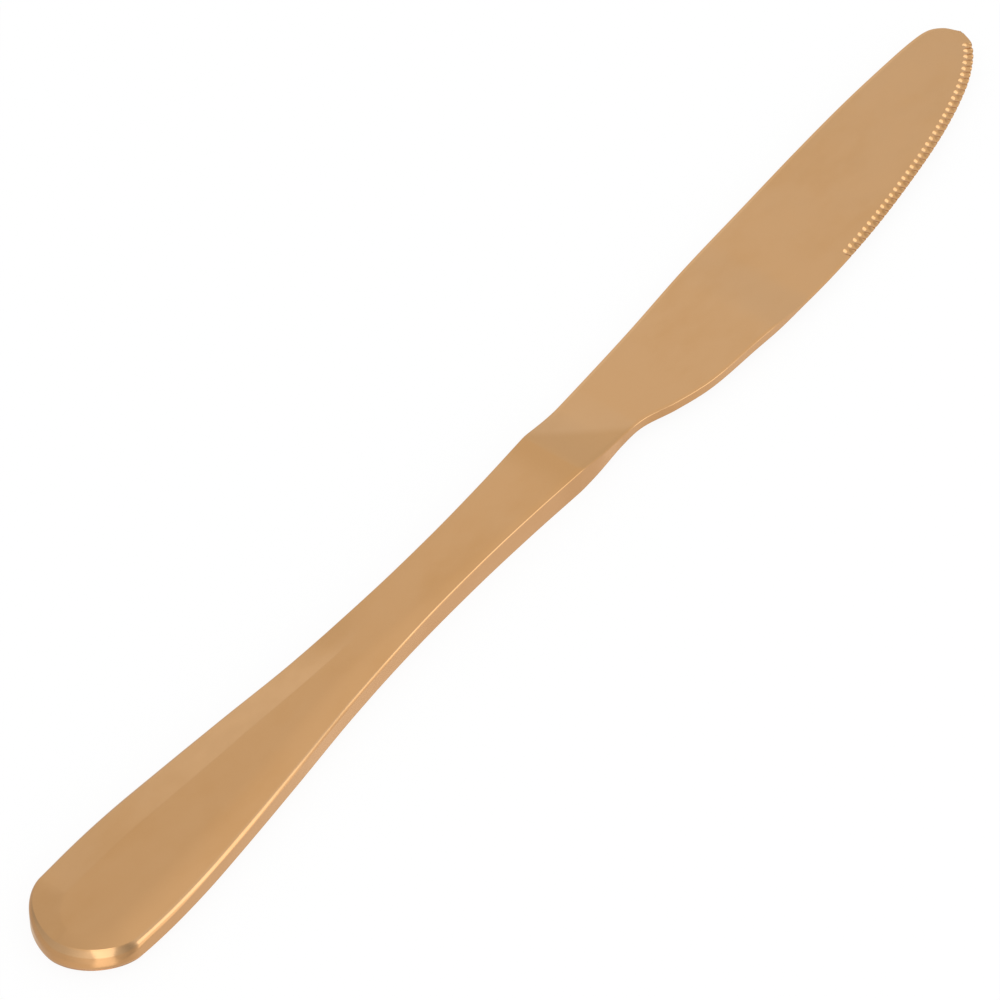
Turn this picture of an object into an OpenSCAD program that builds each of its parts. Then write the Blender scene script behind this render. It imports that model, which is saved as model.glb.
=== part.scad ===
// Table knife with a hollow handle, lying on its side.
// +X runs from the butt to the tip, +Y towards the spine of the blade and +Z up.
// The origin is on the flat underside of the handle, half way along it.

/* [Overall] */
// Length from the butt to the tip
overall_length = 228.9; // [215:0.1:245]
// Length of the handle, from the butt to the joint with the blade
handle_length = 112.4; // [104:0.1:122]
// Thickness of the handle over its two flats
handle_thickness = 4.8; // [4.4:0.1:6]

/* [Handle outline] */
// Half of the handle's width near the butt, where it is widest
butt_half_width = 9.15; // [8:0.05:11]
// Length of the rounded butt end
butt_length = 8.2; // [7:0.1:11]
// Fullness of the rounded butt end, where 2 is a true ellipse
butt_fullness = 1.75; // [1.6:0.05:2.4]
// Places along the handle where its half width is given, as shares of its length
handle_place_shares = [0, 0.13, 0.23, 0.38, 0.52, 0.66, 0.79, 0.9, 1];
// Half width at those places, as shares of the half width near the butt
handle_width_shares = [0.938, 0.993, 0.943, 0.784, 0.618, 0.516, 0.497, 0.53, 0.59];

/* [Handle section] */
// Greatest width of the sloping shoulder beside the flat
shoulder_width = 5; // [4.4:0.1:5.4]
// Greatest fall of the shoulder, from the flat to the rounded edge
shoulder_drop = 0.3; // [0.1:0.02:0.36]
// Greatest radius of the handle's edges
edge_radius = 3; // [2.4:0.1:3.4]
// Angle up to which the rounded edges turn, to the crisp line where the shoulder starts
edge_turn = 56; // [50:1:60]
// Section along the handle, as shares: place, shoulder width, fall on the side of the cutting edge and of
// the spine, radius on the side of the cutting edge and of the spine, first turn of the rounded edges
section_shares = [[0, 0.72, 0.3, 0.3, 0.78, 0.78, 0], [0.04, 0.9, 0.7, 0.7, 0.8, 0.36, 0.1],
    [0.1, 1, 1, 1, 0.55, 0.42, 0.25], [0.2, 1, 1, 1, 0.62, 0.55, 0.5], [0.27, 1, 1, 1, 0.63, 0.6, 0.5],
    [0.34, 0.97, 1, 1, 0.5, 0.5, 0.45], [0.4, 0.92, 1, 1, 0.38, 0.38, 0.3],
    [0.5, 0.86, 1, 1, 0.33, 0.33, 0.22], [0.54, 0.84, 1, 0.85, 0.3, 0.3, 0.22],
    [0.58, 0.81, 0.97, 0.5, 0.28, 0.28, 0.22], [0.62, 0.72, 0.8, 0.16, 0.25, 0.25, 0.22],
    [0.66, 0.6, 0.6, 0.05, 0.22, 0.22, 0.22], [0.71, 0.5, 0.4, 0.03, 0.19, 0.19, 0.22],
    [0.85, 0.3, 0.22, 0.03, 0.13, 0.13, 0.22], [1, 0.22, 0.2, 0.03, 0.08, 0.08, 0.22]];
// Depth ground off the underside to make its flat true
ground_depth = 0.04; // [0.02:0.01:0.06]

/* [Shells] */
// Wall of the two pressed half shells
shell_wall = 0.7; // [0.5:0.05:0.9]
// Smallest radius inside the shells' edges
cavity_radius = 0.2; // [0.1:0.05:0.3]

/* [Blade outline] */
// Greatest width of the blade
blade_width = 18.9; // [16:0.1:22]
// Spine from the joint to the tip: travel, then place and height as shares of blade length and width
spine_shares = [[0.1, 0.103, 0.308], [0.24, 0.24, 0.35], [0.38, 0.378, 0.411], [0.52, 0.515, 0.445],
    [0.65, 0.652, 0.477], [0.77, 0.772, 0.493], [0.87, 0.875, 0.486], [0.93, 0.941, 0.469],
    [0.965, 0.973, 0.434], [0.985, 0.99, 0.35], [1, 0.998, 0.235]];
// Cutting edge from the joint to the tip, in the same shares
edge_shares = [[0.04, 0.04, -0.293], [0.09, 0.09, -0.288], [0.13, 0.13, -0.306], [0.18, 0.18, -0.405],
    [0.24, 0.24, -0.488], [0.33, 0.33, -0.526], [0.45, 0.446, -0.569], [0.58, 0.584, -0.541],
    [0.72, 0.721, -0.449], [0.82, 0.824, -0.343], [0.9, 0.91, -0.203], [0.955, 0.962, -0.063],
    [0.985, 0.99, 0.063], [1, 1, 0.18]];

/* [Blade section] */
// Thickness of the blade at its heel
heel_thickness = 1.9; // [1.5:0.1:2.4]
// Half thickness of the spine: travel and share of the heel's half thickness
spine_height_shares = [[0, 1], [0.12, 1], [0.5, 0.86], [0.9, 0.68], [1, 0.42]];
// Thickness left along the ground cutting edge
edge_thickness = 0.4; // [0.3:0.05:0.6]
// Length of the slope from the handle's thickness down to the blade's
ramp_length = 14; // [10:0.5:18]
// How quickly that slope eases out, where 1 is straight
ramp_ease = 1.6; // [1.2:0.1:2.2]
// Length of that slope along the spine, as a share of its length along the cutting edge
spine_ramp_share = 0.62; // [0.5:0.02:1]
// Travel at which the thick lower edge starts to be ground away, and ends, as shares
grind_shares = [0.36, 0.45];
// Width of the softened band along the blade's edges
blade_shoulder = 0.5; // [0.3:0.05:0.7]
// Fall of that band
blade_drop = 0.05; // [0.02:0.01:0.08]
// Radius of the blade's edges
blade_radius = 0.2; // [0.1:0.05:0.3]

/* [Teeth] */
// Number of ground teeth
tooth_count = 37; // [10:1:39]
// Distance from one tooth to the next, along the cutting edge
tooth_pitch = 1.475; // [1.42:0.005:1.6]
// Distance of the first tooth from the tip, along the cutting edge
first_tooth = 3.2; // [1.8:0.1:4]
// How far each groove runs in from the cutting edge
tooth_length = 1.5; // [1.2:0.1:2]
// Radius of the groove
tooth_radius = 0.7; // [0.6:0.05:0.7]
// Depth by which the groove breaks through the back of the cutting edge
tooth_notch = 0.06; // [0.03:0.01:0.1]

/* [Tang] */
// Length of the stepped spigot that fills the shells' open end
spigot_length = 6; // [4:0.5:9]
// Gap between the spigot and the shells, taken up by the braze
spigot_gap = 0.05; // [0.02:0.01:0.1]
// Length of the tang behind the spigot
tang_length = 46; // [30:1:55]
// Width of the tang
tang_width = 5.2; // [4:0.1:5.6]
// Thickness of the tang
tang_thickness = 1.9; // [1.4:0.1:2.2]
// Diameter of the two holes that key the tang into the cement
key_diameter = 2.4; // [1.6:0.1:3]
// Distance from the spigot to the first key hole, and from that to the second
key_spacing = 15; // [10:0.5:18]

/* [Hidden] */
steel_colour = [0.78, 0.62, 0.46];
cement_colour = [0.72, 0.7, 0.66];
blade_length = overall_length - handle_length;
half_thickness = handle_thickness / 2;
spigot_start = handle_length - spigot_length;
spine_power = 1;
edge_power = 2;
inward_power = 1.3;
arc_steps = 4;
shoulder_steps = 3;
butt_steps = 12;
handle_steps = 24;
spigot_steps = 2;
ramp_steps = 9;
heel_steps = 12;
belly_steps = 16;
tip_steps = 12;
ramp_share = ramp_length / blade_length;
room_share = 0.4;
thin_share = 0.25;
heel_share = 0.36;
belly_share = 0.86;
$fn = 48;

// Smooth curve through a list of [x, y] points

function slope(p, i) = let (a = max(i - 1, 0), b = min(i + 1, len(p) - 1))
    (p[b][1] - p[a][1]) / (p[b][0] - p[a][0]);

function span(p, x, i = 0) = i < len(p) - 2 && x > p[i + 1][0] ? span(p, x, i + 1) : i;

function curve(p, x) = let (
        i = span(p, x),
        h = p[i + 1][0] - p[i][0],
        t = (x - p[i][0]) / h,
        rest = 1 - t)
    p[i][1] * rest * rest * (1 + 2 * t) + p[i + 1][1] * t * t * (3 - 2 * t)
    + h * t * rest * (slope(p, i) * rest - slope(p, i + 1) * t);

function ease(t) = let (c = min(max(t, 0), 1)) c * c * (3 - 2 * c);

function mix(a, b, t) = a + (b - a) * t;

// Quarter of a section, from its side at mid height to its flat: [distance in, height].
// The rounded edge meets the side wall and the shoulder in crisp lines.

function quarter(height, shoulder, drop, radius, low_turn, power, inset = 0) = let (
        rise = sin(edge_turn) - sin(low_turn),
        round = min(radius, (height - drop) / rise),
        reach = round * (cos(low_turn) - cos(edge_turn)),
        base = height - drop - round * rise)
    concat(
        [[inset, 0]],
        [for (i = [0:arc_steps]) let (a = mix(low_turn, edge_turn, i / arc_steps))
            [inset + round * (cos(low_turn) - cos(a)), base + round * (sin(a) - sin(low_turn))]],
        [for (i = [1:shoulder_steps]) let (s = i / shoulder_steps)
            [inset + mix(reach, shoulder, s), height - drop * pow(1 - s, power)]]);

quarter_count = 2 + arc_steps + shoulder_steps;
top_count = 2 * quarter_count;
ring_count = 2 * top_count - 2;

// Handle outline: each station is [x, y, inward x, inward y] on the spine side

width_points = [for (i = [0:len(handle_place_shares) - 1])
    [handle_place_shares[i] * handle_length, handle_width_shares[i] * butt_half_width]];

function half_width(x) = curve(width_points, x);

function butt_station(a) = let (
        w = half_width(butt_length),
        gx = pow(cos(a), inward_power) / butt_length,
        gy = sin(a) / w,
        g = norm([gx, gy]))
    [butt_length * (1 - pow(cos(a), 2 / butt_fullness)), w * pow(sin(a), 2 / butt_fullness), gx / g, gy / g];

butt_stations = [for (i = [1:butt_steps]) butt_station(90 * i / butt_steps)];
run_stations = [for (i = [1:handle_steps])
    let (x = mix(butt_length, spigot_start, i / handle_steps)) [x, half_width(x), 0, 1]];
spigot_stations = [for (i = [0:spigot_steps])
    let (x = mix(spigot_start, handle_length, i / spigot_steps)) [x, half_width(x), 0, 1]];
cavity_stations = concat(butt_stations, run_stations);
shell_stations = concat(cavity_stations, [for (i = [1:spigot_steps]) spigot_stations[i]]);

// Column of the section's table as a smooth value along the handle

function section_at(x, column) = curve([for (s = section_shares) [s[0] * handle_length, s[column]]], x);

function shoulder_at(x) = shoulder_width * section_at(x, 1);
function edge_drop_at(x) = shoulder_drop * section_at(x, 2);
function spine_drop_at(x) = shoulder_drop * section_at(x, 3);
function edge_radius_at(x) = edge_radius * section_at(x, 4);
function spine_radius_at(x) = edge_radius * section_at(x, 5);
function low_turn_at(x) = edge_turn * section_at(x, 6);

function outer_quarter(x, drop, radius, power, extra) =
    quarter(half_thickness + extra, shoulder_at(x), drop + extra, radius, low_turn_at(x), power);

function cavity_quarter(x, drop, outer_radius, gap) = let (
        in = shell_wall + gap,
        radius = max(outer_radius - in, cavity_radius))
    quarter(half_thickness - in, max(shoulder_at(x) - in, radius), drop, radius, low_turn_at(x),
        spine_power, in);

// Upper half of a section at a station, from the spine side over the top to the edge side

function station_half(s, qs, qe) = concat(
    [for (k = [0:quarter_count - 1]) [s[0] + s[2] * qs[k][0], s[1] - s[3] * qs[k][0], qs[k][1]]],
    [for (k = [quarter_count - 1:-1:0]) [s[0] + s[2] * qe[k][0], s[3] * qe[k][0] - s[1], qe[k][1]]]);

function outer_half(s, extra = 0) = station_half(s,
    outer_quarter(s[0], spine_drop_at(s[0]), spine_radius_at(s[0]), spine_power, extra),
    outer_quarter(s[0], edge_drop_at(s[0]), edge_radius_at(s[0]), edge_power, extra));
function cavity_half(s, gap = 0) = station_half(s,
    cavity_quarter(s[0], spine_drop_at(s[0]), spine_radius_at(s[0]), gap),
    cavity_quarter(s[0], edge_drop_at(s[0]), edge_radius_at(s[0]), gap));

// Whole section: the upper half and its mirror image below the mid plane

function whole(half) = concat(half, [for (k = [top_count - 2:-1:1]) [half[k][0], half[k][1], -half[k][2]]]);

function flat(lists) = [for (l = lists) for (e = l) e];

function quad(a, b, c, d) = [[a, b, c], [a, c, d]];

function turned(faces, shift) = [for (f = faces) [f[2] + shift, f[1] + shift, f[0] + shift]];

// Solid through closed rings of points, with the first and last ring closed straight across

module loft(rings) {
    n = ring_count;
    right = top_count - 1;
    last = (len(rings) - 1) * n;
    sides = flat([for (j = [0:len(rings) - 2]) for (k = [0:n - 1]) let (a = j * n + k, b = j * n + (k + 1) % n)
        quad(a, a + n, b + n, b)]);
    top_end = flat([for (k = [0:quarter_count - 2]) quad(k, k + 1, right - 1 - k, right - k)]);
    low_end = flat([for (k = [0:quarter_count - 2]) quad(n - 1 - k, (n - k) % n, right + k, right + k + 1)]);
    near_end = concat(top_end, low_end);
    polyhedron(flat(rings), concat(sides, near_end, turned(near_end, last)), convexity = 6);
}

// Half shell: an outer and a cavity skin, joined along the seam and round the open end.
// Its flat can be made proud by an extra depth, to be ground off.

module half_shell(extra = 0) {
    n = top_count;
    count = len(shell_stations);
    skin = count * n;
    last = skin - n;
    points = concat(flat([for (s = shell_stations) outer_half(s, extra)]),
        flat([for (s = shell_stations) cavity_half(s)]));
    run = flat([for (j = [0:count - 2]) for (k = [0:n - 2]) let (a = j * n + k) quad(a, a + n, a + n + 1, a + 1)]);
    butt = flat([for (k = [0:quarter_count - 2]) quad(k, k + 1, n - 2 - k, n - 1 - k)]);
    outside = concat(run, butt);
    spine_seam = flat([for (j = [0:count - 2]) let (a = j * n) quad(a + n, a, a + skin, a + n + skin)]);
    edge_seam = flat([for (j = [0:count - 2]) let (a = j * n + n - 1) quad(a, a + n, a + n + skin, a + skin)]);
    butt_seam = quad(0, n - 1, n - 1 + skin, skin);
    mouth = flat([for (k = [0:n - 2]) let (a = last + k) quad(a + 1, a, a + skin, a + 1 + skin)]);
    polyhedron(points, concat(outside, turned(outside, skin), spine_seam, edge_seam, butt_seam, mouth),
        convexity = 6);
}

// Blade outline and section at a share of the travel from the joint to the tip

joint_half_width = half_width(handle_length);
spine_x = concat([[0, 0]], [for (s = spine_shares) [s[0], s[1] * blade_length]]);
spine_y = concat([[0, joint_half_width]], [for (s = spine_shares) [s[0], s[2] * blade_width]]);
edge_x = concat([[0, 0]], [for (s = edge_shares) [s[0], s[1] * blade_length]]);
edge_y = concat([[0, -joint_half_width]], [for (s = edge_shares) [s[0], s[2] * blade_width]]);

function spine_at(u) = [handle_length + curve(spine_x, u), curve(spine_y, u)];
function edge_at(u) = [handle_length + curve(edge_x, u), curve(edge_y, u)];

// Share of the handle's extra thickness that is left at a travel along the blade
function ramp_rest(u) = pow(max(1 - u / ramp_share, 0), ramp_ease);

function spine_height(u) =
    mix(curve(spine_height_shares, u) * heel_thickness / 2, half_thickness, ramp_rest(u / spine_ramp_share));
function edge_height(u) = let (t = ease((u - grind_shares[0]) / (grind_shares[1] - grind_shares[0])))
    mix(mix(heel_thickness / 2, half_thickness, ramp_rest(u)), edge_thickness / 2, t);

function blade_quarter(u, joint_drop, height, room, power) = let (t = ramp_rest(u))
    quarter(height, min(mix(blade_shoulder, shoulder_at(handle_length), t), room),
        min(mix(blade_drop, joint_drop, t), height * thin_share),
        min(mix(blade_radius, edge_radius_at(handle_length), t), min(height, room)),
        low_turn_at(handle_length), power);

function blade_half(u) = let (
        s = spine_at(u),
        e = edge_at(u),
        gap = norm(e - s),
        c = (e - s) / gap,
        qs = blade_quarter(u, spine_drop_at(handle_length), spine_height(u), gap * room_share, spine_power),
        qe = blade_quarter(u, edge_drop_at(handle_length), edge_height(u), gap * room_share, edge_power))
    concat([for (k = [0:quarter_count - 1]) [s[0] + c[0] * qs[k][0], s[1] + c[1] * qs[k][0], qs[k][1]]],
        [for (k = [quarter_count - 1:-1:0]) [e[0] - c[0] * qe[k][0], e[1] - c[1] * qe[k][0], qe[k][1]]]);

blade_travel = concat(
    [for (i = [0:ramp_steps]) ramp_share * i / ramp_steps],
    [for (i = [1:heel_steps]) mix(ramp_share, heel_share, i / heel_steps)],
    [for (i = [1:belly_steps]) mix(heel_share, belly_share, i / belly_steps)],
    [for (i = [1:tip_steps]) mix(belly_share, 1, i / tip_steps)]);

// Teeth: grooves at even steps along the cutting edge, counted back from the tip

edge_samples = 160;
edge_line = [for (i = [0:edge_samples]) edge_at(1 - i / (2 * edge_samples))];
function run_up(i) = i == 0 ? 0 : run_up(i - 1) + norm(edge_line[i] - edge_line[i - 1]);
edge_run = [for (i = [0:edge_samples]) [run_up(i), 1 - i / (2 * edge_samples)]];

module tooth_groove(u) {
    e = edge_at(u);
    near = edge_at(u - 1 / edge_samples);
    heading = atan2(e[1] - near[1], e[0] - near[0]);
    bottom = -edge_thickness / 2 - tooth_notch;
    rise = edge_thickness / 2 + blade_drop - bottom;
    tilt = atan2(rise, tooth_length);
    translate([e[0], e[1], bottom])
        rotate([0, 0, heading])
            rotate([-(90 - tilt), 0, 0])
                translate([0, -tooth_radius, 0])
                    cylinder(h = 4 * tooth_length, r = tooth_radius, center = true);
}

module teeth() {
    for (i = [0:tooth_count - 1]) tooth_groove(lookup(first_tooth + i * tooth_pitch, edge_run));
}

// Tang with its key holes, in the knife's own plane

module tang() {
    overlap = spigot_length / 2;
    difference() {
        translate([spigot_start - tang_length, -tang_width / 2, -tang_thickness / 2])
            cube([tang_length + overlap, tang_width, tang_thickness]);
        for (i = [1:2]) translate([spigot_start - i * key_spacing, 0, 0])
            cylinder(h = 2 * tang_thickness, d = key_diameter, center = true);
    }
}

module on_table() {
    translate([-handle_length / 2, 0, half_thickness]) children();
}

module blade() {
    spigot = [for (s = spigot_stations) whole(cavity_half(s, spigot_gap))];
    body = [for (u = blade_travel) whole(blade_half(u))];
    color(steel_colour) on_table() {
        difference() {
            loft(concat(spigot, body));
            teeth();
        }
        tang();
    }
}

module handle_upper_shell() {
    color(steel_colour) on_table() half_shell();
}

module handle_lower_shell() {
    color(steel_colour) difference() {
        on_table() mirror([0, 0, 1]) half_shell(ground_depth);
        translate([-handle_length, -handle_length / 2, -handle_length])
            cube([2 * handle_length, handle_length, handle_length]);
    }
}

module handle_filler() {
    color(cement_colour) on_table() difference() {
        loft([for (s = cavity_stations) whole(cavity_half(s))]);
        tang();
    }
}

blade();
handle_upper_shell();
handle_lower_shell();
handle_filler();
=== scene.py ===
"""Looks of the table knife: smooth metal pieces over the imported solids, a light tent and the photo's camera.

Lengths are written in millimetres, as in the part's own source, and turned into metres by MM.
+X runs from the butt to the tip, +Y towards the spine, +Z up, with the origin under the handle.
"""

import math

import bmesh
import bpy
import numpy as np
from mathutils import Matrix, Quaternion, Vector


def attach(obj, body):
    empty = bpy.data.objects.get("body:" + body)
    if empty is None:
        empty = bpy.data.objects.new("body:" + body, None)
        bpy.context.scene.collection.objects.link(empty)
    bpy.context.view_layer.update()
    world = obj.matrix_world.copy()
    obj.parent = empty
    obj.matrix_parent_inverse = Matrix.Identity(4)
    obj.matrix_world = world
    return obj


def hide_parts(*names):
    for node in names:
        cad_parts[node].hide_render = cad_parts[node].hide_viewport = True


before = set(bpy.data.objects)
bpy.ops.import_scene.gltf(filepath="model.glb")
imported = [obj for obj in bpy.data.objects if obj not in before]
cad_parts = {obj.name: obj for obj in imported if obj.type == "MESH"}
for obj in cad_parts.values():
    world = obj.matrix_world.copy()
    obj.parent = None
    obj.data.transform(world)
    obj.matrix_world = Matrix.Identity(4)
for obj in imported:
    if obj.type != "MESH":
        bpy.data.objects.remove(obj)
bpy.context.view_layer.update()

MM = 0.001

# Knife as a whole
OVERALL_LENGTH = 228.9
HANDLE_LENGTH = 112.4
HANDLE_THICKNESS = 4.8
BLADE_LENGTH = OVERALL_LENGTH - HANDLE_LENGTH
HALF_THICKNESS = HANDLE_THICKNESS / 2

# Handle outline: a round butt, then half widths as shares at places along the handle
BUTT_HALF_WIDTH = 9.15
BUTT_LENGTH = 8.2
BUTT_FULLNESS = 1.75
INWARD_POWER = 1.3
HANDLE_PLACE_SHARES = (0, 0.13, 0.23, 0.38, 0.52, 0.66, 0.79, 0.9, 1)
HANDLE_WIDTH_SHARES = (0.938, 0.993, 0.943, 0.784, 0.618, 0.516, 0.497, 0.53, 0.59)

# Handle section: flat, sloping shoulder, rounded edge and side wall, with crisp lines between the last three
SHOULDER_WIDTH = 5.0
SHOULDER_DROP = 0.3
SPINE_POWER = 1.0
EDGE_POWER = 2.0
EDGE_RADIUS = 3.0
EDGE_TURN = math.radians(56)
# As shares: place along the handle, shoulder width, fall on the side of the cutting edge and of the spine,
# radius on the side of the cutting edge and of the spine, first turn of the rounded edges
SECTION_SHARES = (
    (0, 0.72, 0.3, 0.3, 0.78, 0.78, 0), (0.04, 0.9, 0.7, 0.7, 0.8, 0.36, 0.1),
    (0.1, 1, 1, 1, 0.55, 0.42, 0.25), (0.2, 1, 1, 1, 0.62, 0.55, 0.5), (0.27, 1, 1, 1, 0.63, 0.6, 0.5),
    (0.34, 0.97, 1, 1, 0.5, 0.5, 0.45), (0.4, 0.92, 1, 1, 0.38, 0.38, 0.3),
    (0.5, 0.86, 1, 1, 0.33, 0.33, 0.22), (0.54, 0.84, 1, 0.85, 0.3, 0.3, 0.22),
    (0.58, 0.81, 0.97, 0.5, 0.28, 0.28, 0.22),
    (0.62, 0.72, 0.8, 0.16, 0.25, 0.25, 0.22), (0.66, 0.6, 0.6, 0.05, 0.22, 0.22, 0.22),
    (0.71, 0.5, 0.4, 0.03, 0.19, 0.19, 0.22), (0.85, 0.3, 0.22, 0.03, 0.13, 0.13, 0.22),
    (1, 0.22, 0.2, 0.03, 0.08, 0.08, 0.22),
)
GROUND_DEPTH = 0.04

# Shells
SHELL_WALL = 0.7
CAVITY_RADIUS = 0.2

# Blade outline: travel from the joint, place along the blade and height, as shares
BLADE_WIDTH = 18.9
SPINE_SHARES = (
    (0.1, 0.103, 0.308), (0.24, 0.24, 0.35), (0.38, 0.378, 0.411), (0.52, 0.515, 0.445),
    (0.65, 0.652, 0.477), (0.77, 0.772, 0.493), (0.87, 0.875, 0.486), (0.93, 0.941, 0.469),
    (0.965, 0.973, 0.434), (0.985, 0.99, 0.35), (1, 0.998, 0.235),
)
EDGE_SHARES = (
    (0.04, 0.04, -0.293), (0.09, 0.09, -0.288), (0.13, 0.13, -0.306), (0.18, 0.18, -0.405),
    (0.24, 0.24, -0.488), (0.33, 0.33, -0.526), (0.45, 0.446, -0.569), (0.58, 0.584, -0.541),
    (0.72, 0.721, -0.449), (0.82, 0.824, -0.343), (0.9, 0.91, -0.203), (0.955, 0.962, -0.063),
    (0.985, 0.99, 0.063), (1, 1, 0.18),
)

# Blade section
HEEL_THICKNESS = 1.9
SPINE_HEIGHT_SHARES = ((0, 1), (0.12, 1), (0.5, 0.86), (0.9, 0.68), (1, 0.42))
EDGE_THICKNESS = 0.4
RAMP_LENGTH = 14.0
RAMP_EASE = 1.6
RAMP_START_SHARE = 0.15
SPINE_RAMP_SHARE = 0.62
GRIND_SHARES = (0.36, 0.45)
BLADE_SHOULDER = 0.5
BLADE_DROP = 0.05
BLADE_RADIUS = 0.2
ROOM_SHARE = 0.4
THIN_SHARE = 0.25

# Teeth, counted back from the tip along the cutting edge
TOOTH_COUNT = 37
TOOTH_PITCH = 1.475
FIRST_TOOTH = 3.2
# Floor of each groove: distance out from the cutting edge and height over the blade's mid plane
GROOVE_FLOOR = (
    (-1.8, 0.303), (-1.6, 0.23), (-1.3, 0.12), (-1.08, 0.04), (-0.9, -0.01), (-0.6, -0.07), (-0.3, -0.13),
    (0, -0.19), (0.5, -0.29),
)
# Length over which its round narrows, the radius at the inner and the outer end, and how early that starts
GROOVE_LENGTH = 1.3
GROOVE_RADII = (1.8, 0.5)
GROOVE_EASE_SHARE = 0.1
GROOVE_HALF_WIDTH = 0.76
GROOVE_TOP = 0.6
GROOVE_STEPS = (24, 16)
# The teeth lie between this travel and the tip, where the edge's run and heading are taken in short steps
TOOTH_SEARCH_SHARE = 0.4
TOOTH_SEARCH_STEPS = 1200
TOOTH_HEADING_STEP = 0.002

# Tang and spigot
SPIGOT_LENGTH = 6.0
SPIGOT_GAP = 0.05
TANG_LENGTH = 46.0
TANG_WIDTH = 5.2
TANG_THICKNESS = 1.9
KEY_DIAMETER = 2.4
KEY_SPACING = 15.0
KEY_STEPS = 48

# Fineness of the meshes
ARC_STEPS = 10
# Shares of the shoulder's slope; the last short step keeps its inner line crisp
SLOPE_SHARES = (0.12, 0.25, 0.4, 0.55, 0.7, 0.85, 0.97, 1)
LINE_WIDTH = 0.1
BUTT_STEPS = 72
HANDLE_STEPS = 110
SPIGOT_STEPS = 3
BLADE_STEPS = (36, 60, 90, 110)
BLADE_BREAK_SHARES = (RAMP_LENGTH / BLADE_LENGTH, GRIND_SHARES[0], 0.86, 1)
CREASE_ANGLE = math.radians(10)
# Points closer than this, in metres, become one
MERGE_DISTANCE = 1e-7


def smooth_curve(points, x):
    """Cubic Hermite curve through [x, y] points, with slopes from the neighbouring points."""
    xs, ys = np.array(points, float).T
    last = len(xs) - 1
    after = np.minimum(np.arange(last + 1) + 1, last)
    before = np.maximum(np.arange(last + 1) - 1, 0)
    slopes = (ys[after] - ys[before]) / (xs[after] - xs[before])
    x = np.asarray(x, float)
    i = np.clip(np.searchsorted(xs, x) - 1, 0, last - 1)
    h = xs[i + 1] - xs[i]
    t = (x - xs[i]) / h
    rest = 1 - t
    return (ys[i] * rest**2 * (1 + 2 * t) + ys[i + 1] * t**2 * (3 - 2 * t)
            + h * t * rest * (slopes[i] * rest - slopes[i + 1] * t))


def ease(t):
    t = np.clip(t, 0, 1)
    return t * t * (3 - 2 * t)


def mix(a, b, t):
    return a + (b - a) * t


def quarter(height, shoulder, drop, radius, low_turn, power, inset=0.0):
    """Quarter sections, one per station, from the side at mid height to the flat: [distance in, height].

    The rounded edge meets the side wall and the shoulder in crisp lines.
    """
    height, shoulder, drop, radius, low_turn = (
        values[:, None] for values in np.broadcast_arrays(height, shoulder, drop, radius, low_turn))
    rise = math.sin(EDGE_TURN) - np.sin(low_turn)
    radius = np.minimum(radius, (height - drop) / rise)
    reach = radius * (np.cos(low_turn) - math.cos(EDGE_TURN))
    base = height - drop - radius * rise
    a = mix(low_turn, EDGE_TURN, np.linspace(0, 1, ARC_STEPS + 1))
    s = np.array(SLOPE_SHARES)
    side = np.zeros_like(height)
    across = np.hstack([side, radius * (np.cos(low_turn) - np.cos(a)), mix(reach, shoulder, s),
                        shoulder + LINE_WIDTH])
    up = np.hstack([side, base + radius * (np.sin(a) - np.sin(low_turn)), height - drop * (1 - s) ** power,
                    height])
    return np.stack([across + inset, up], axis=-1)


QUARTER_COUNT = ARC_STEPS + len(SLOPE_SHARES) + 3
HALF_COUNT = 2 * QUARTER_COUNT
RING_COUNT = 2 * HALF_COUNT - 2


def half_width(x):
    widths = BUTT_HALF_WIDTH * np.array(HANDLE_WIDTH_SHARES)
    return smooth_curve(np.stack([np.array(HANDLE_PLACE_SHARES) * HANDLE_LENGTH, widths], axis=1), x)


def section_at(x):
    """Shoulder width, edge side and spine side fall and radius, and first turn of the section at x."""
    table = np.array(SECTION_SHARES)
    sizes = (SHOULDER_WIDTH, SHOULDER_DROP, SHOULDER_DROP, EDGE_RADIUS, EDGE_RADIUS, EDGE_TURN)
    return [size * smooth_curve(np.stack([table[:, 0] * HANDLE_LENGTH, table[:, k + 1]], axis=1), x)
            for k, size in enumerate(sizes)]


def butt_stations():
    """Stations round the butt, spine side: x, y and the direction inward."""
    a = np.linspace(0, math.pi / 2, BUTT_STEPS + 1)[1:]
    w = half_width(BUTT_LENGTH)
    c, s = np.cos(a).clip(0), np.sin(a)
    inward_x = c ** INWARD_POWER / BUTT_LENGTH
    inward_y = s / w
    size = np.hypot(inward_x, inward_y)
    return np.stack([BUTT_LENGTH * (1 - c ** (2 / BUTT_FULLNESS)), w * s ** (2 / BUTT_FULLNESS),
                     inward_x / size, inward_y / size], axis=1)


def straight_stations(start, end, steps):
    x = np.linspace(start, end, steps + 1)
    return np.stack([x, half_width(x), np.zeros_like(x), np.ones_like(x)], axis=1)


def station_halves(stations, spine_quarters, edge_quarters):
    """Upper half of each section, from the spine side over the top to the edge side."""
    x, y, ix, iy = (stations[:, i:i + 1] for i in range(4))
    across, up = spine_quarters[..., 0], spine_quarters[..., 1]
    spine_side = np.stack([x + ix * across, y - iy * across, up], axis=-1)
    across, up = edge_quarters[..., 0], edge_quarters[..., 1]
    edge_side = np.stack([x + ix * across, iy * across - y, up], axis=-1)[:, ::-1]
    return np.concatenate([spine_side, edge_side], axis=1)


def outer_halves(stations, extra=0.0):
    width, edge_drop, spine_drop, edge_radius, spine_radius, low_turn = section_at(stations[:, 0])
    sides = ((spine_drop, spine_radius, SPINE_POWER), (edge_drop, edge_radius, EDGE_POWER))
    return station_halves(stations, *(
        quarter(HALF_THICKNESS + extra, width, drop + extra, radius, low_turn, power)
        for drop, radius, power in sides))


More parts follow.
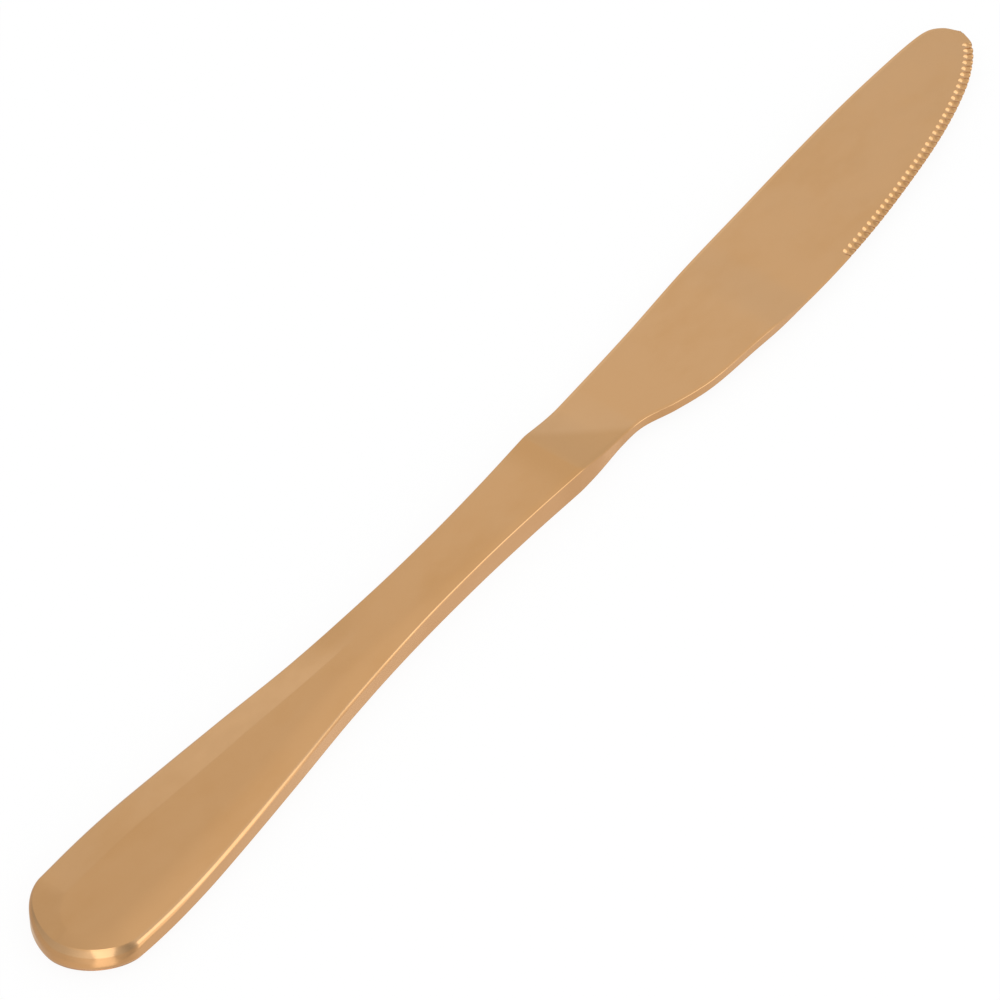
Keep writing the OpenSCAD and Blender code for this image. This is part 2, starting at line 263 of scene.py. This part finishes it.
def cavity_halves(stations, gap=0.0):
    width, edge_drop, spine_drop, edge_radius, spine_radius, low_turn = section_at(stations[:, 0])
    inset = SHELL_WALL + gap
    inner = []
    for drop, outer_radius in ((spine_drop, spine_radius), (edge_drop, edge_radius)):
        radius = np.maximum(outer_radius - inset, CAVITY_RADIUS)
        shoulder = np.maximum(width - inset, radius)
        inner.append(quarter(HALF_THICKNESS - inset, shoulder, drop, radius, low_turn, SPINE_POWER, inset))
    return station_halves(stations, *inner)


def whole_rings(halves):
    """Whole sections: the upper half and its mirror image below the mid plane."""
    lower = halves[:, -2:0:-1] * np.array([1, 1, -1])
    return np.concatenate([halves, lower], axis=1)


def strip(rows, columns, width):
    """Quads between the rows of a grid that is width points wide."""
    j, k = np.meshgrid(np.arange(rows), np.arange(columns), indexing="ij")
    a = (j * width + k).ravel()
    b = (j * width + (k + 1) % width).ravel()
    return np.stack([a, a + width, b + width, b], axis=1)


def loft_faces(rings):
    """Faces of a solid through closed rings, with both ends closed straight across."""
    rows = len(rings) - 1
    sides = strip(rows, RING_COUNT, RING_COUNT)
    k = np.arange(QUARTER_COUNT - 1)
    right = HALF_COUNT - 1
    top = np.stack([k, k + 1, right - 1 - k, right - k], axis=1)
    low = np.stack([RING_COUNT - 1 - k, (RING_COUNT - k) % RING_COUNT, right + k, right + k + 1], axis=1)
    near = np.vstack([top, low])
    far = near[:, ::-1] + rows * RING_COUNT
    return np.vstack([sides, near, far])


def new_piece(name, points, faces, material):
    """Mesh object from points in millimetres in the knife's own plane, with the origin at the butt."""
    placed = (points.reshape(-1, 3) + [-HANDLE_LENGTH / 2, 0, HALF_THICKNESS]) * MM
    mesh = bpy.data.meshes.new(name)
    mesh.from_pydata(placed.tolist(), [], [list(dict.fromkeys(f)) for f in faces.tolist()])
    mesh.validate()
    piece = bpy.data.objects.new(name, mesh)
    bpy.context.scene.collection.objects.link(piece)
    tidy_normals(piece)
    mesh.materials.append(material)
    return piece


def tidy_normals(piece):
    bm = bmesh.new()
    bm.from_mesh(piece.data)
    bmesh.ops.remove_doubles(bm, verts=bm.verts, dist=MERGE_DISTANCE)
    bmesh.ops.recalc_face_normals(bm, faces=bm.faces)
    bm.to_mesh(piece.data)
    bm.free()
    piece.data.shade_smooth()
    piece.data.set_sharp_from_angle(angle=CREASE_ANGLE)


def half_shell(name, material, side):
    """Half shell, upper for side 1 and lower for -1: two skins, joined along the seam and round the mouth."""
    stations = np.vstack([butt_stations(), straight_stations(BUTT_LENGTH, HANDLE_LENGTH, HANDLE_STEPS)[1:]])
    lower = side < 0
    outer = outer_halves(stations, GROUND_DEPTH if lower else 0.0)
    outer[..., 2] = np.minimum(outer[..., 2], HALF_THICKNESS)
    skin = outer.shape[0] * HALF_COUNT
    points = np.concatenate([outer.reshape(-1, 3), cavity_halves(stations).reshape(-1, 3)])
    rows = len(stations) - 1
    run = strip(rows, HALF_COUNT - 1, HALF_COUNT)
    k = np.arange(QUARTER_COUNT - 1)
    butt = np.stack([k, k + 1, HALF_COUNT - 2 - k, HALF_COUNT - 1 - k], axis=1)
    outside = np.vstack([run, butt])
    j = np.arange(rows) * HALF_COUNT
    spine_seam = np.stack([j + HALF_COUNT, j, j + skin, j + HALF_COUNT + skin], axis=1)
    e = j + HALF_COUNT - 1
    edge_seam = np.stack([e, e + HALF_COUNT, e + HALF_COUNT + skin, e + skin], axis=1)
    butt_seam = np.array([[0, HALF_COUNT - 1, HALF_COUNT - 1 + skin, skin]])
    m = skin - HALF_COUNT + np.arange(HALF_COUNT - 1)
    mouth = np.stack([m + 1, m, m + skin, m + 1 + skin], axis=1)
    faces = np.vstack([outside, outside[:, ::-1] + skin, spine_seam, edge_seam, butt_seam, mouth])
    return new_piece(name, points * [1, 1, side], faces, material)


JOINT_HALF_WIDTH = float(half_width(HANDLE_LENGTH))
JOINT_SHOULDER, JOINT_EDGE_DROP, JOINT_SPINE_DROP, JOINT_RADIUS, _, JOINT_LOW_TURN = (
    float(v) for v in section_at(HANDLE_LENGTH))


def outline(shares, start):
    """Travel and place, and travel and height, of one side of the blade, in millimetres."""
    rows = np.array(shares)
    along = np.vstack([[0, 0], np.stack([rows[:, 0], rows[:, 1] * BLADE_LENGTH], axis=1)])
    high = np.vstack([[0, start], np.stack([rows[:, 0], rows[:, 2] * BLADE_WIDTH], axis=1)])
    return along, high


SPINE_LINE = outline(SPINE_SHARES, JOINT_HALF_WIDTH)
EDGE_LINE = outline(EDGE_SHARES, -JOINT_HALF_WIDTH)


def side_at(line, u):
    return np.stack([HANDLE_LENGTH + smooth_curve(line[0], u), smooth_curve(line[1], u)], axis=-1)


def ramp_rest(u):
    """Share of the handle's extra thickness that is left at a travel along the blade."""
    t = np.clip(u * BLADE_LENGTH / RAMP_LENGTH, 0, 1)
    eased = (1 + RAMP_START_SHARE) * t * t / (t + RAMP_START_SHARE)
    return (1 - eased).clip(0) ** RAMP_EASE


def spine_height(u):
    thin = smooth_curve(SPINE_HEIGHT_SHARES, u) * HEEL_THICKNESS / 2
    return mix(thin, HALF_THICKNESS, ramp_rest(u / SPINE_RAMP_SHARE))


def edge_height(u):
    ground = ease((u - GRIND_SHARES[0]) / (GRIND_SHARES[1] - GRIND_SHARES[0]))
    return mix(mix(HEEL_THICKNESS / 2, HALF_THICKNESS, ramp_rest(u)), EDGE_THICKNESS / 2, ground)


def blade_quarter(u, joint_drop, height, room, power):
    t = ramp_rest(u)
    shoulder = np.minimum(mix(BLADE_SHOULDER, JOINT_SHOULDER, t), room)
    drop = np.minimum(mix(BLADE_DROP, joint_drop, t), height * THIN_SHARE)
    radius = np.minimum(mix(BLADE_RADIUS, JOINT_RADIUS, t), np.minimum(height, room))
    return quarter(height, shoulder, drop, radius, JOINT_LOW_TURN, power)


def blade_halves(u):
    s, e = side_at(SPINE_LINE, u), side_at(EDGE_LINE, u)
    gap = np.hypot(*(e - s).T)
    c = ((e - s) / gap[:, None])[:, None, :]
    qs = blade_quarter(u, JOINT_SPINE_DROP, spine_height(u), gap * ROOM_SHARE, SPINE_POWER)
    qe = blade_quarter(u, JOINT_EDGE_DROP, edge_height(u), gap * ROOM_SHARE, EDGE_POWER)
    spine_side = np.concatenate([s[:, None] + c * qs[..., :1], qs[..., 1:]], axis=-1)
    edge_side = np.concatenate([e[:, None] - c * qe[..., :1], qe[..., 1:]], axis=-1)[:, ::-1]
    return np.concatenate([spine_side, edge_side], axis=1)


def blade_travel():
    start, parts = 0.0, [np.zeros(1)]
    for end, steps in zip(BLADE_BREAK_SHARES, BLADE_STEPS):
        parts.append(np.linspace(start, end, steps + 1)[1:])
        start = end
    return np.concatenate(parts)


def tooth_places():
    """Travel of each tooth, at even steps along the cutting edge."""
    u = np.linspace(1, TOOTH_SEARCH_SHARE, TOOTH_SEARCH_STEPS)
    line = side_at(EDGE_LINE, u)
    run = np.concatenate([[0], np.cumsum(np.hypot(*np.diff(line, axis=0).T))])
    return np.interp(FIRST_TOOTH + TOOTH_PITCH * np.arange(TOOTH_COUNT), run, u)


def groove_form():
    """Cutter for one tooth, with +X out over the edge: wide and shallow inside, narrow and deep outside."""
    along, across = GROOVE_STEPS
    u = np.linspace(GROOVE_FLOOR[0][0], GROOVE_FLOOR[-1][0], along + 1)
    w = np.linspace(-1, 1, across + 1) * GROOVE_HALF_WIDTH
    radius = mix(*GROOVE_RADII, ease((u + GROOVE_LENGTH) / GROOVE_LENGTH + GROOVE_EASE_SHARE))
    low = smooth_curve(GROOVE_FLOOR, u)[:, None] + w ** 2 / (2 * radius[:, None])
    low = np.minimum(low, GROOVE_TOP - LINE_WIDTH)
    x, y = np.meshgrid(u, w, indexing="ij")
    top = np.full_like(low, GROOVE_TOP)
    points = np.concatenate([np.stack([x, y, z], axis=-1).reshape(-1, 3) for z in (low, top)])
    width, layer = across + 1, (along + 1) * (across + 1)
    faces = []
    for j in range(along):
        for k in range(across):
            a = j * width + k
            quad = [a, a + 1, a + width + 1, a + width]
            faces += [quad, [q + layer for q in reversed(quad)]]
    rim = ([j * width for j in range(along)] + [along * width + k for k in range(across)]
           + [j * width + across for j in range(along, 0, -1)] + [k for k in range(across, 0, -1)])
    for a, b in zip(rim, rim[1:] + rim[:1]):
        faces.append([a, b, b + layer, a + layer])
    return points, faces


def tooth_cutters(chosen):
    """Cutters for the chosen teeth, which stand clear of each other."""
    places = tooth_places()[chosen]
    at, near = side_at(EDGE_LINE, places), side_at(EDGE_LINE, places - TOOTH_HEADING_STEP)
    form, form_faces = groove_form()
    points, faces, count = [], [], 0
    for e, n in zip(at, near):
        heading = math.atan2(*(e - n)[::-1]) - math.pi / 2
        place = Matrix.Translation((e[0], e[1], 0)) @ Matrix.Rotation(heading, 4, "Z")
        points.append(form @ np.array(place.to_3x3()).T + np.array(place.translation))
        faces += [[k + count for k in f] for f in form_faces]
        count += len(form)
    return np.vstack(points), faces


def box_faces():
    return [[0, 1, 3, 2], [4, 6, 7, 5], [0, 4, 5, 1], [2, 3, 7, 6], [0, 2, 6, 4], [1, 5, 7, 3]]


def tang_points():
    end = HANDLE_LENGTH - SPIGOT_LENGTH
    return np.array([(x, y, z) for x in (end - TANG_LENGTH, end + SPIGOT_LENGTH / 2)
                     for y in (-TANG_WIDTH / 2, TANG_WIDTH / 2)
                     for z in (-TANG_THICKNESS / 2, TANG_THICKNESS / 2)])


def key_cutters():
    """Rods that drill the tang's two key holes."""
    around = KEY_STEPS
    points, faces = [], []
    for i in (1, 2):
        start = len(points)
        t = np.linspace(0, 2 * math.pi, around, endpoint=False)
        x = HANDLE_LENGTH - SPIGOT_LENGTH - i * KEY_SPACING + KEY_DIAMETER / 2 * np.cos(t)
        y = KEY_DIAMETER / 2 * np.sin(t)
        for z in (-TANG_THICKNESS, TANG_THICKNESS):
            points += [(a, b, z) for a, b in zip(x, y)]
        faces += [[start + k, start + (k + 1) % around, start + around + (k + 1) % around, start + around + k]
                  for k in range(around)]
        faces.append([start + k for k in range(around)][::-1])
        faces.append([start + around + k for k in range(around)])
    return np.array(points), faces


def ragged_piece(name, points, faces):
    """Helper solid for a cut, from faces of mixed length."""
    placed = (points + [-HANDLE_LENGTH / 2, 0, HALF_THICKNESS]) * MM
    mesh = bpy.data.meshes.new(name)
    mesh.from_pydata(placed.tolist(), [], faces)
    piece = bpy.data.objects.new(name, mesh)
    bpy.context.scene.collection.objects.link(piece)
    tidy_normals(piece)
    return piece


def combine(piece, other, operation):
    """Joins or cuts piece with other, and removes other."""
    step = piece.modifiers.new(operation.lower(), "BOOLEAN")
    step.operation = operation
    step.solver = "MANIFOLD"
    step.object = other
    made = bpy.data.meshes.new_from_object(piece.evaluated_get(bpy.context.evaluated_depsgraph_get()))
    piece.modifiers.clear()
    old = piece.data
    piece.data = made
    made.name = old.name
    bpy.data.meshes.remove(old)
    bpy.data.objects.remove(other)


def blade(material):
    spigot = whole_rings(cavity_halves(
        straight_stations(HANDLE_LENGTH - SPIGOT_LENGTH, HANDLE_LENGTH, SPIGOT_STEPS), SPIGOT_GAP))
    rings = np.concatenate([spigot, whole_rings(blade_halves(blade_travel()))])
    piece = new_piece("knife_blade", rings, loft_faces(rings), material)
    combine(piece, ragged_piece("tang_form", tang_points(), box_faces()), "UNION")
    combine(piece, ragged_piece("key_form", *key_cutters()), "DIFFERENCE")
    for first in (0, 1):
        combine(piece, ragged_piece("tooth_form", *tooth_cutters(slice(first, None, 2))), "DIFFERENCE")
    tidy_normals(piece)
    return piece


# Materials

# Noise scales are per millimetre; a range is where the noise's value starts and ends to count
COPPER_GOLD = (0.617, 0.371, 0.184, 1)
WARM_GOLD = (0.575, 0.325, 0.140, 1)
PATCH_SCALE = (0.07, 0.14, 0.14)
PATCH_TURN = 0.3
PATCH_RANGE = (0.4, 0.8)
PATCH_SHARE = 0.55
CLOUD_SCALE = (0.2, 0.3, 0.3)
CLOUD_RANGE = (0.3, 0.7)
STEEL_ROUGHNESS = (0.13, 0.2)
GRAIN_SCALE = (0.35, 9.0, 9.0)
GRAIN_STRENGTH = 0.12
GRAIN_DEPTH = 0.004
# Painted shade at the start of the ramp, put into the coating's colour as a darker gold: where it begins and
# ends along the knife, in millimetres from the butt, and how far its end leans towards the tip on the side of
# the cutting edge
RAMP_PAINTED_SHADE = (0.57, 0.33, 0.15, 1)
RAMP_SHADE_START = (105, 111)
RAMP_SHADE_END = (117.5, 120.5)
RAMP_SHADE_LEAN = 1.05
CEMENT_DARK = (0.42, 0.40, 0.36, 1)
CEMENT_PALE = (0.55, 0.53, 0.49, 1)
CEMENT_ROUGHNESS = 0.85
SAND_SCALE = (2.5, 2.5, 2.5)
SAND_RANGE = (0.35, 0.65)
SAND_STRENGTH = 0.5
SAND_DEPTH = 0.08


def new_material(name):
    material = bpy.data.materials.new(name)
    material.use_nodes = True
    return material, material.node_tree.nodes, material.node_tree.links


def noise(nodes, links, vector, detail, roughness):
    node = nodes.new("ShaderNodeTexNoise")
    node.inputs["Scale"].default_value = 1.0
    node.inputs["Detail"].default_value = detail
    node.inputs["Roughness"].default_value = roughness
    links.new(vector, node.inputs["Vector"])
    return node.outputs["Fac"]


def mapping(nodes, links, scale, turn=0.0):
    """Object coordinates in millimetres, stretched by the scale."""
    place = nodes.new("ShaderNodeTexCoord")
    node = nodes.new("ShaderNodeMapping")
    node.inputs["Scale"].default_value = [s / MM for s in scale]
    node.inputs["Rotation"].default_value = (0, 0, turn)
    links.new(place.outputs["Object"], node.inputs["Vector"])
    return node.outputs["Vector"]


def remap(nodes, links, value, low, high, to_low, to_high):
    node = nodes.new("ShaderNodeMapRange")
    node.interpolation_type = "SMOOTHSTEP"
    for socket, number in zip(("From Min", "From Max", "To Min", "To Max"), (low, high, to_low, to_high)):
        node.inputs[socket].default_value = number
    links.new(value, node.inputs["Value"])
    return node.outputs["Result"]


def blend_colours(nodes, links, factor, a, b):
    node = nodes.new("ShaderNodeMix")
    node.data_type = "RGBA"
    links.new(factor, node.inputs["Factor"])
    for socket, colour in (("A", a), ("B", b)):
        port = next(s for s in node.inputs if s.name == socket and s.type == "RGBA")
        if isinstance(colour, tuple):
            port.default_value = colour
        else:
            links.new(colour, port)
    return next(s for s in node.outputs if s.type == "RGBA")


def add_bump(nodes, links, shader, height, strength, depth):
    """Fine relief from a height between 0 and 1, depth in millimetres."""
    bump = nodes.new("ShaderNodeBump")
    bump.inputs["Strength"].default_value = strength
    bump.inputs["Distance"].default_value = depth * MM
    links.new(height, bump.inputs["Height"])
    links.new(bump.outputs["Normal"], shader.inputs["Normal"])


def ramp_shade_mask(nodes, links):
    """Mask of the painted shade: 1 at the start of the ramp, fading out towards the handle and, on a slanted
    line, towards the blade.
    """
    place = mapping(nodes, links, (1, 1, 1))
    faded = []
    for lean, (low, high), to_low in ((0, RAMP_SHADE_START, 0), (RAMP_SHADE_LEAN, RAMP_SHADE_END, 1)):
        along = nodes.new("ShaderNodeVectorMath")
        along.operation = "DOT_PRODUCT"
        along.inputs[1].default_value = (1, lean, 0)
        links.new(place, along.inputs[0])
        faded.append(remap(nodes, links, along.outputs["Value"], low - HANDLE_LENGTH / 2,
                           high - HANDLE_LENGTH / 2, to_low, 1 - to_low))
    both = nodes.new("ShaderNodeMath")
    both.operation = "MULTIPLY"
    for value, socket in zip(faded, both.inputs):
        links.new(value, socket)
    return both.outputs[0]


def coated_steel():
    """Copper-gold coating over satin steel: faint warm patches, painted shade at the start of the ramp and a
    fine polish grain.
    """
    material, nodes, links = new_material("coated_steel")
    shader = nodes["Principled BSDF"]
    shader.inputs["Metallic"].default_value = 1.0
    patches = noise(nodes, links, mapping(nodes, links, PATCH_SCALE, PATCH_TURN), 4.0, 0.6)
    tone = remap(nodes, links, patches, *PATCH_RANGE, 0.0, PATCH_SHARE)
    coating = blend_colours(nodes, links, tone, COPPER_GOLD, WARM_GOLD)
    # Painted shade: a darker gold at the start of the ramp, mixed into the coating's colour
    coating = blend_colours(nodes, links, ramp_shade_mask(nodes, links), coating, RAMP_PAINTED_SHADE)
    links.new(coating, shader.inputs["Base Color"])
    grain = noise(nodes, links, mapping(nodes, links, GRAIN_SCALE), 3.0, 0.6)
    cloud = noise(nodes, links, mapping(nodes, links, CLOUD_SCALE), 4.0, 0.6)
    links.new(remap(nodes, links, cloud, *CLOUD_RANGE, *STEEL_ROUGHNESS), shader.inputs["Roughness"])
    add_bump(nodes, links, shader, grain, GRAIN_STRENGTH, GRAIN_DEPTH)
    return material


def handle_cement():
    """Matt set cement with fine sand in it."""
    material, nodes, links = new_material("handle_cement")
    shader = nodes["Principled BSDF"]
    shader.inputs["Roughness"].default_value = CEMENT_ROUGHNESS
    sand = noise(nodes, links, mapping(nodes, links, SAND_SCALE), 5.0, 0.7)
    tone = remap(nodes, links, sand, *SAND_RANGE, 0.0, 1.0)
    links.new(blend_colours(nodes, links, tone, CEMENT_DARK, CEMENT_PALE), shader.inputs["Base Color"])
    add_bump(nodes, links, shader, sand, SAND_STRENGTH, SAND_DEPTH)
    return material


# Stage: a light tent whose wall and roof differ in tone all round, a satin white floor and three softboxes

# Direction as seen from the knife, in degrees from +X towards +Y, and brightness of the tent there
WALL_TONES = (
    (-180, 0.79), (-165, 0.95), (-155, 1.1), (-148, 1.25), (-120, 0.78), (-110, 0.72), (-102, 0.55),
    (-94, 0.46), (-86, 0.6), (-76, 0.95), (-50, 1.0), (-20, 1.0), (0, 0.93), (15, 0.89), (27, 0.9),
    (34, 0.98), (42, 1.04), (48, 1.04), (55, 0.85), (62, 0.7), (90, 0.68), (107, 0.56), (120, 0.66),
    (150, 0.74), (180, 0.79),
)
ROOF_TONES = (
    (-180, 0.9), (-150, 1.0), (-110, 0.75), (-90, 0.7), (-60, 0.95), (-20, 0.95), (0, 0.91), (15, 0.94),
    (30, 0.92), (37, 0.87), (46, 0.77), (60, 0.7), (110, 0.66), (150, 0.72), (180, 0.9),
)
ROOF_WARMTH = (1.06, 1.0, 0.9, 1)
WALL_TOP = math.radians(46.5)
WALL_TOP_BLUR = math.radians(0.7)
# Largest brightness that the tones may have, and the even light that falls on matt surfaces
TONE_ROOM = 2.0
TENT_LIGHT = 0.97

# Floor: size in metres, gap under the knife in millimetres, and what the camera and the knife see of it
FLOOR_SIZE = 6.0
FLOOR_GAP = 0.02
FLOOR_COLOUR = (0.97, 0.97, 0.97, 1)
FLOOR_MATT_ROUGHNESS = 0.9
FLOOR_GLOW_SHARE = 0.92
# Painted light: a warm glow, brighter than white, and a warm tint that the floor shows only in the knife's
# reflections
FLOOR_REFLECTED_GLOW = 1.4
FLOOR_REFLECTED_TINT = (0.86, 0.79, 0.71, 1)
FLOOR_SHEEN_SHARE = 0.75
FLOOR_ROUGHNESS = 0.15

# Softboxes: direction from the knife in degrees, width and height in metres, and radiance; the last one also
# has its roll in degrees and the place along the knife, in millimetres, that it faces
SOFTBOX_DISTANCE = 0.9
SOFTBOXES = (
    ("edge_softbox", (-67, 11, 0.44, 0.42, 1.05)),
    ("butt_softbox", (-132, 28, 0.34, 1.0, 1.1)),
    ("teeth_softbox", (-11, 43, 0.17, 0.6, 1.0, 28, 142)),
)


def sees_tones(nodes, links):
    """1 for camera, glossy and transmission rays, which all see the tent's painted tones."""
    path = nodes.new("ShaderNodeLightPath")
    value = path.outputs["Is Camera Ray"]
    for name in ("Is Glossy Ray", "Is Transmission Ray"):
        node = nodes.new("ShaderNodeMath")
        node.operation = "MAXIMUM"
        links.new(value, node.inputs[0])
        links.new(path.outputs[name], node.inputs[1])
        value = node.outputs[0]
    return value


def tone_ramp(nodes, links, place, tones, tint=(1, 1, 1, 1)):
    """Brightness by direction, held as a share of TONE_ROOM."""
    ramp = nodes.new("ShaderNodeValToRGB")
    stops = ramp.color_ramp.elements
    while len(stops) < len(tones):
        stops.new(1)
    for stop, (degrees, tone) in zip(stops, tones):
        stop.position = (degrees + 180) / 360
        stop.color = [tone / TONE_ROOM * c for c in tint[:3]] + [1]
    links.new(place, ramp.inputs["Fac"])
    return ramp.outputs["Color"]


def make_world():
    world = bpy.data.worlds.new("light_tent")
    bpy.context.scene.world = world
    world.use_nodes = True
    nodes, links = world.node_tree.nodes, world.node_tree.links
    tent = nodes["Background"]
    tent.inputs["Color"].default_value = (1, 1, 1, 1)
    tent.inputs["Strength"].default_value = TENT_LIGHT
    direction = nodes.new("ShaderNodeTexCoord")
    parts = nodes.new("ShaderNodeSeparateXYZ")
    links.new(direction.outputs["Generated"], parts.inputs["Vector"])
    round_about = nodes.new("ShaderNodeMath")
    round_about.operation = "ARCTAN2"
    links.new(parts.outputs["Y"], round_about.inputs[0])
    links.new(parts.outputs["X"], round_about.inputs[1])
    place = nodes.new("ShaderNodeMapRange")
    place.inputs["From Min"].default_value = -math.pi
    place.inputs["From Max"].default_value = math.pi
    links.new(round_about.outputs[0], place.inputs["Value"])
    wall = tone_ramp(nodes, links, place.outputs["Result"], WALL_TONES)
    roof = tone_ramp(nodes, links, place.outputs["Result"], ROOF_TONES, ROOF_WARMTH)
    above = remap(nodes, links, parts.outputs["Z"], math.sin(WALL_TOP - WALL_TOP_BLUR),
                  math.sin(WALL_TOP + WALL_TOP_BLUR), 0.0, 1.0)
    painted = nodes.new("ShaderNodeBackground")
    links.new(blend_colours(nodes, links, above, wall, roof), painted.inputs["Color"])
    painted.inputs["Strength"].default_value = TONE_ROOM
    either = mixed_shaders(nodes, links, sees_tones(nodes, links), tent, painted)
    links.new(either.outputs[0], nodes["World Output"].inputs["Surface"])


def stage_plane(name, size, height, material):
    half = size / 2
    corners = [(-half, -half, height), (half, -half, height), (half, half, height), (-half, half, height)]
    mesh = bpy.data.meshes.new(name)
    mesh.from_pydata(corners, [], [(0, 1, 2, 3)])
    mesh.materials.append(material)
    plane = bpy.data.objects.new(name, mesh)
    bpy.context.scene.collection.objects.link(plane)
    return plane


def scaled(nodes, links, value, share):
    node = nodes.new("ShaderNodeMath")
    node.operation = "MULTIPLY"
    node.inputs[1].default_value = share
    links.new(value, node.inputs[0])
    return node.outputs[0]


def mixed_shaders(nodes, links, factor, a, b):
    """Two shaders mixed by a socket or a plain share."""
    node = nodes.new("ShaderNodeMixShader")
    if isinstance(factor, float):
        node.inputs["Fac"].default_value = factor
    else:
        links.new(factor, node.inputs["Fac"])
    links.new(a.outputs[0], node.inputs[1])
    links.new(b.outputs[0], node.inputs[2])
    return node


def emission(nodes, strength, tint=(1, 1, 1, 1)):
    node = nodes.new("ShaderNodeEmission")
    node.inputs["Color"].default_value = tint
    node.inputs["Strength"].default_value = strength
    return node


def floor_material():
    """White acrylic: it keeps a faint shadow, and the knife's sides see the lights in its satin face, along
    with a painted warm glow and warm tint that only reflections show.
    """
    material, nodes, links = new_material("satin_floor")
    matt = nodes["Principled BSDF"]
    matt.inputs["Base Color"].default_value = FLOOR_COLOUR
    matt.inputs["Roughness"].default_value = FLOOR_MATT_ROUGHNESS
    matt.inputs["Specular IOR Level"].default_value = 0.0
    path = nodes.new("ShaderNodeLightPath")
    seen = scaled(nodes, links, path.outputs["Is Camera Ray"], FLOOR_GLOW_SHARE)
    lit = mixed_shaders(nodes, links, seen, matt, emission(nodes, 1.0))
    # Painted light for glossy rays: a warm-tinted sheen mixed with a warm glow brighter than white
    sheen = nodes.new("ShaderNodeBsdfGlossy")
    sheen.inputs["Color"].default_value = FLOOR_REFLECTED_TINT
    sheen.inputs["Roughness"].default_value = FLOOR_ROUGHNESS
    mirrored = mixed_shaders(nodes, links, FLOOR_SHEEN_SHARE, emission(nodes, FLOOR_REFLECTED_GLOW, FLOOR_REFLECTED_TINT), sheen)
    either = mixed_shaders(nodes, links, path.outputs["Is Glossy Ray"], lit, mirrored)
    links.new(either.outputs[0], nodes["Material Output"].inputs["Surface"])
    return material


def softbox(name, turn, rise, width, height, radiance, roll=0.0, along=0.0):
    """Rectangular lamp that faces a point along the knife, at a plain radiance."""
    turn, rise = math.radians(turn), math.radians(rise)
    away = Vector((math.cos(rise) * math.cos(turn), math.cos(rise) * math.sin(turn), math.sin(rise)))
    lamp = bpy.data.lights.new(name, "AREA")
    lamp.shape = "RECTANGLE"
    lamp.size, lamp.size_y = width, height
    lamp.energy = radiance * math.pi * width * height
    holder = bpy.data.objects.new(name, lamp)
    holder.location = Vector((along * MM, 0, 0)) + away * SOFTBOX_DISTANCE
    holder.rotation_mode = "QUATERNION"
    holder.rotation_quaternion = away.to_track_quat("Z", "Y") @ Quaternion((0, 0, 1), math.radians(roll))
    holder.visible_camera = False
    bpy.context.scene.collection.objects.link(holder)
    return holder


def make_stage():
    make_world()
    stage_plane("floor", FLOOR_SIZE, -FLOOR_GAP * MM, floor_material())
    for name, settings in SOFTBOXES:
        softbox(name, *settings)


# Camera, as fitted to the photo

CAMERA_LENS = 162.0
CAMERA_SENSOR = 36.0
CAMERA_ELEVATION = math.radians(48.0)
CAMERA_TURN = math.radians(54.4595)
CAMERA_ROLL = math.radians(-1.75914)
CAMERA_DISTANCE = 655.26
CAMERA_TARGET = (45.9645, 1.853, 2.4)
# Nearest and farthest distance that it sees, in metres
CAMERA_CLIP = (0.01, 20.0)


def make_camera():
    a, e, roll = CAMERA_TURN, CAMERA_ELEVATION, CAMERA_ROLL
    right = Vector((math.cos(a), -math.sin(a), 0))
    level = Vector((math.sin(a), math.cos(a), 0))
    forward = math.cos(e) * level - Vector((0, 0, math.sin(e)))
    up = math.sin(e) * level + Vector((0, 0, math.cos(e)))
    across = math.cos(roll) * right - math.sin(roll) * up
    upright = math.sin(roll) * right + math.cos(roll) * up
    lens = bpy.data.cameras.new("photo_camera")
    lens.lens = CAMERA_LENS
    lens.sensor_width = CAMERA_SENSOR
    lens.clip_start, lens.clip_end = CAMERA_CLIP
    camera = bpy.data.objects.new("photo_camera", lens)
    turn = Matrix((across, upright, -forward)).transposed().to_4x4()
    place = Vector(CAMERA_TARGET) * MM - forward * CAMERA_DISTANCE * MM
    camera.matrix_world = Matrix.Translation(place) @ turn
    bpy.context.scene.collection.objects.link(camera)
    bpy.context.scene.camera = camera


make_camera()
steel = coated_steel()
for made, node in ((half_shell("knife_handle_upper", steel, 1), "handle_upper_shell"),
                   (half_shell("knife_handle_lower", steel, -1), "handle_lower_shell"),
                   (blade(steel), "blade")):
    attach(made, "root")
    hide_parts(node)

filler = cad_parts["handle_filler"]
filler.data.materials.clear()
filler.data.materials.append(handle_cement())

make_stage()
bpy.context.scene.view_settings.view_transform = "Standard"
